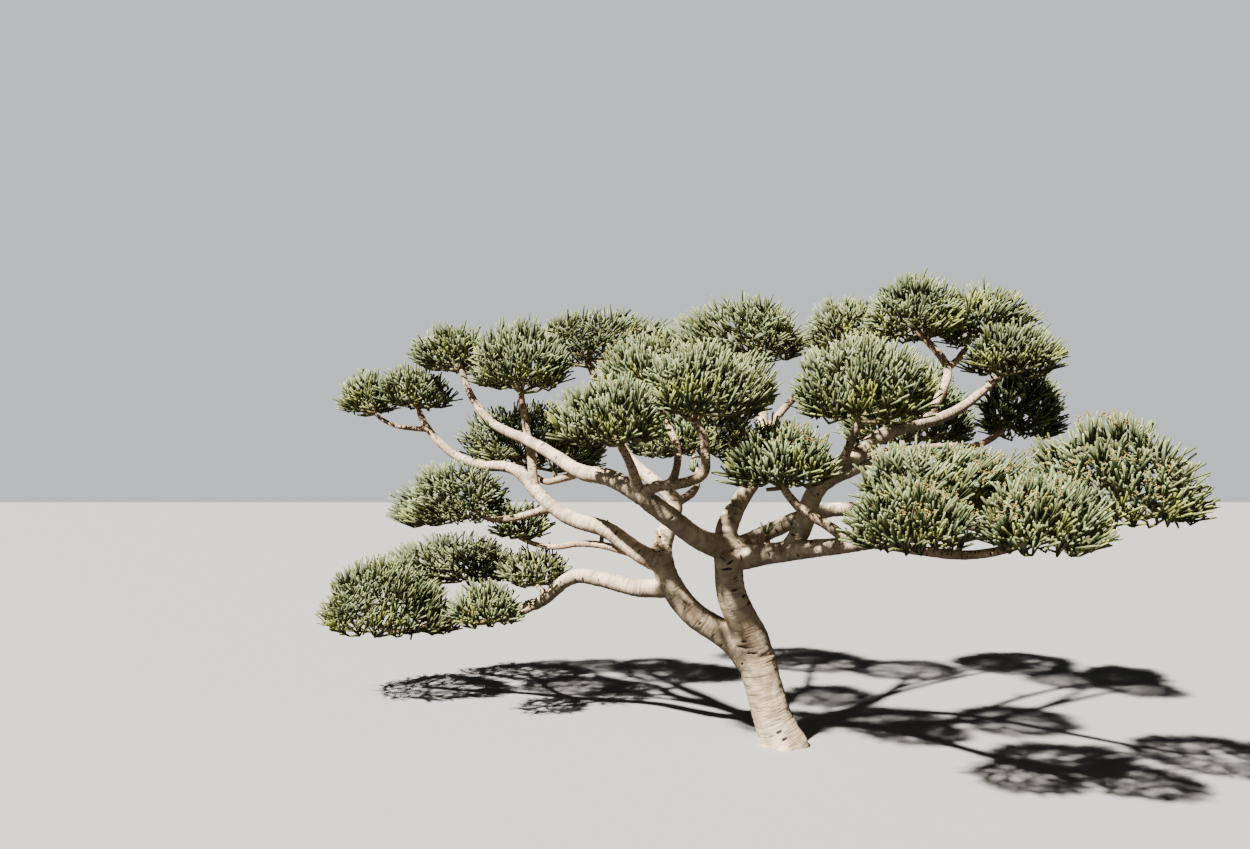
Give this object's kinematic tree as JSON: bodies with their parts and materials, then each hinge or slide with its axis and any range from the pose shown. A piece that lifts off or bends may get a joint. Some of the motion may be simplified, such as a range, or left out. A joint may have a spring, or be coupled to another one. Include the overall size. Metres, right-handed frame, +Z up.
{
  "type": "umbrella-crowned succulent tree spurge",
  "caption": "Leafless succulent tree with a short leaning trunk, smooth pale spreading boughs and dense domes of upright grey-green finger stems.",
  "frame": {"origin": "middle of the flat cut under the trunk, at ground level", "axes": "+Z up, +X to the right of the view in the picture, +Y away from it"},
  "size_m": [5.5638, 3.8244, 3.0588],
  "materials": {
    "bark": "smooth pale grey-beige bark with fine cross wrinkles and dark lens-shaped scars",
    "finger_stems": "matt waxy sage-green finger stems"
  },
  "bodies": {
    "root": {"trunk": "bark", "left_leader_bough": "bark", "right_leader_bough": "bark", "low_left_bough": "bark", "low_back_bough": "bark", "low_small_bough": "bark", "low_front_bough": "bark", "left_shelf_bough": "bark", "left_middle_bough": "bark", "left_tip_bough": "bark", "left_under_bough": "bark", "left_small_bough": "bark", "back_middle_bough": "bark", "left_crest_bough": "bark", "left_inner_bough": "bark", "front_left_bough": "bark", "front_middle_bough": "bark", "inner_middle_bough": "bark", "top_back_bough": "bark", "back_right_bough": "bark", "near_left_bough": "bark", "near_right_bough": "bark", "near_upper_bough": "bark", "front_low_bough": "bark", "right_shoulder_bough": "bark", "front_right_bough": "bark", "top_right_bough": "bark", "top_far_right_bough": "bark", "right_back_bough": "bark", "far_right_bough": "bark", "left_tip_fingers": "finger_stems", "left_shelf_fingers": "finger_stems", "left_crest_fingers": "finger_stems", "left_middle_fingers": "finger_stems", "back_crest_fingers": "finger_stems", "front_left_fingers": "finger_stems", "front_middle_fingers": "finger_stems", "inner_middle_fingers": "finger_stems", "top_middle_fingers": "finger_stems", "top_back_fingers": "finger_stems", "front_right_fingers": "finger_stems", "top_right_fingers": "finger_stems", "top_far_right_fingers": "finger_stems", "right_shoulder_fingers": "finger_stems", "right_back_fingers": "finger_stems", "front_low_fingers": "finger_stems", "near_upper_fingers": "finger_stems", "near_left_fingers": "finger_stems", "near_right_fingers": "finger_stems", "far_right_fingers": "finger_stems", "left_inner_fingers": "finger_stems", "left_under_fingers": "finger_stems", "left_small_fingers": "finger_stems", "low_left_fingers": "finger_stems", "low_back_fingers": "finger_stems", "low_small_fingers": "finger_stems", "low_front_fingers": "finger_stems", "back_middle_fingers": "finger_stems", "back_right_fingers": "finger_stems"}
  },
  "joints": []
}
